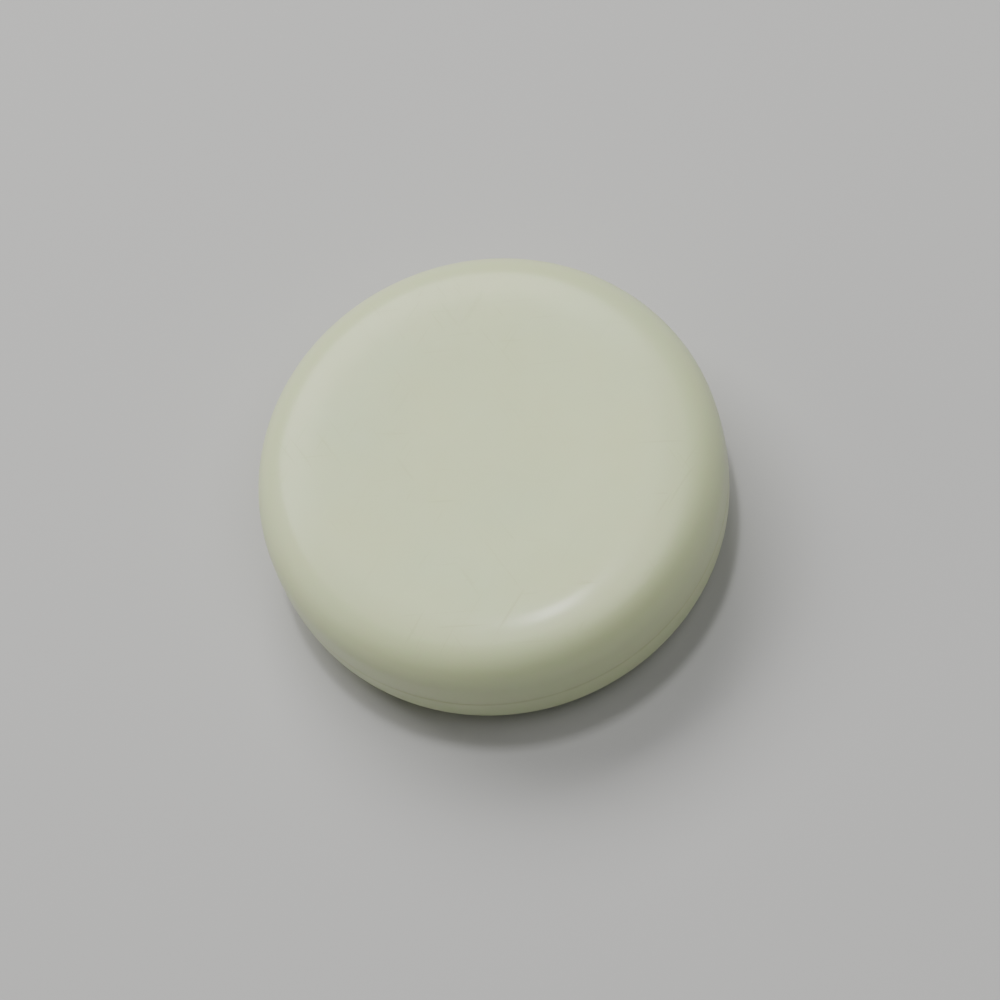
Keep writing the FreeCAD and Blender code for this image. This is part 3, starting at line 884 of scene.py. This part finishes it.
def makeFoamPad(form, name, node):
    low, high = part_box(node)
    radius = high.x / mm
    half = (high.z - low.z) / 2 / mm
    corner = form["edgeRound"]
    rim = radius - form["bulge"]
    face = [(rim * form["ringPitch"] * ring, half) for ring in range(form["faceRings"])]
    quarter = arcPoints((rim - corner, half - corner), corner, 0.0, math.pi / 2, form["edgeStep"])
    side = []
    for row in reversed(range(form["sideRows"])):
        share = row / form["sideRows"]
        side.append((rim + form["bulge"] * math.cos(math.pi / 2 * share), (half - corner) * share))
    top = face + quarter + side
    points = top + [(x, -z) for x, z in reversed(top[:-1])]
    piece = grow(name, points, turnedTree, {
        "Segments": form["segments"], "Outside rows": len(points), "Waviness": form["waviness"] * mm,
        "Wave size": form["waveSize"] * mm, "Seed": form["seed"], "Lift": (low.z + high.z) / 2,
        "Material": foam,
    })
    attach(piece, "root")
    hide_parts(node)


makeFoamPad(foamForm, "upperFoamPad", "upper_foam_pad")
makeFoamPad(foamForm, "lowerFoamPad", "lower_foam_pad")
print("pieces ready")

# The stage

stageForm = {
    "floorRadius": 1.6,
    "floorColour": (0.52, 0.52, 0.515),
    "floorRoughness": 0.75,
    "floorToneSize": 0.12,
    "worldColour": (0.95, 0.97, 1.0),
    "worldStrength": 0.04,
    "backdropStrength": 0.42,   # what the camera sees of it, which lights nothing
}

studioLights = {
    "keyLight": {
        "towards": (-0.13, 0.646, 0.752), "distance": 1.0, "size": (1.0, 0.5),
        "power": 10.6, "colour": (1.0, 0.99, 0.97),
    },
    "fillLight": {
        "towards": (0.32, -0.2, 0.92), "distance": 1.0, "size": (0.6, 0.5),
        "power": 2.4, "colour": (1.0, 1.0, 1.0),
    },
    "edgeLight": {              # pales the edge on the left
        "towards": (-0.9, 0.22, 0.36), "distance": 1.0, "size": (0.7, 0.6),
        "power": 1.4, "colour": (1.0, 0.95, 0.92),
    },
    "smallLight": {             # makes the short highlight on the rim
        "towards": (0.02, 0.174, 0.984), "distance": 0.8, "size": (0.05, 0.085),
        "power": 1.6, "colour": (1.0, 1.0, 1.0),
    },
}


def makeFloor(form):
    bpy.ops.mesh.primitive_circle_add(vertices=96, radius=form["floorRadius"], fill_type="NGON")
    floor = bpy.context.object
    floor.name = "floor"
    floor.location.z = cadLow.z
    material, tree, shader, place = startFinish("paleFloor")
    tone = useGroup(tree, cloudGroup, {"Vector": place, "Size": form["floorToneSize"], "Contrast": 0.6})
    darker, lighter = (shade(form["floorColour"], (share, share, share)) for share in (0.97, 1.03))
    feed(tree, shader.inputs["Base Color"], mixColour(tree, tone, darker, lighter))
    shader.inputs["Roughness"].default_value = form["floorRoughness"]
    floor.data.materials.append(material)


def makeWorld(form):
    world = bpy.data.worlds.new("studio")
    world.use_nodes = True
    background = world.node_tree.nodes["Background"]
    background.inputs["Color"].default_value = (*form["worldColour"], 1.0)
    seen = addNode(world.node_tree, "ShaderNodeLightPath").outputs["Is Camera Ray"]
    strength = remap(world.node_tree, seen, 0.0, 1.0, form["worldStrength"], form["backdropStrength"])
    feed(world.node_tree, background.inputs["Strength"], strength)
    bpy.context.scene.world = world


def addSoftbox(name, form):
    lamp = bpy.data.lights.new(name, "AREA")
    lamp.shape = "RECTANGLE"
    lamp.size, lamp.size_y = form["size"]
    lamp.energy = form["power"]
    lamp.color = form["colour"]
    piece = bpy.data.objects.new(name, lamp)
    direction = Vector(form["towards"]).normalized()
    piece.location = Vector((0, 0, seamHeight)) + direction * form["distance"]
    piece.rotation_euler = direction.to_track_quat("Z", "Y").to_euler()
    bpy.context.scene.collection.objects.link(piece)


makeFloor(stageForm)
makeWorld(stageForm)
for lightName, lightForm in studioLights.items():
    addSoftbox(lightName, lightForm)

cameraForm = {
    "elevation": math.radians(65),
    "roll": math.radians(19.8),
    "distance": 13.0,           # in radii of the button
    "lens": 109.8,
    "shift": (0.0061, -0.0168),
}


def makeCamera(form):
    # The camera's right and up are turned by the roll from level.
    tilt, roll = form["elevation"], form["roll"]
    back = Vector((0, -math.cos(tilt), math.sin(tilt)))
    level = Vector((1, 0, 0))
    upright = Vector((0, math.sin(tilt), math.cos(tilt)))
    right = level * math.cos(roll) - upright * math.sin(roll)
    up = level * math.sin(roll) + upright * math.cos(roll)
    lens = bpy.data.cameras.new("camera")
    lens.sensor_width = 36
    lens.lens = form["lens"]
    lens.shift_x, lens.shift_y = form["shift"]
    lens.clip_start = 0.01
    camera = bpy.data.objects.new("camera", lens)
    turn = Matrix((right, up, back)).transposed().to_4x4()
    place = Vector((0, 0, seamHeight)) + back * form["distance"] * outer
    camera.matrix_world = Matrix.Translation(place) @ turn
    bpy.context.scene.collection.objects.link(camera)
    bpy.context.scene.camera = camera


makeCamera(cameraForm)
print("stage ready")

print("scene ready")
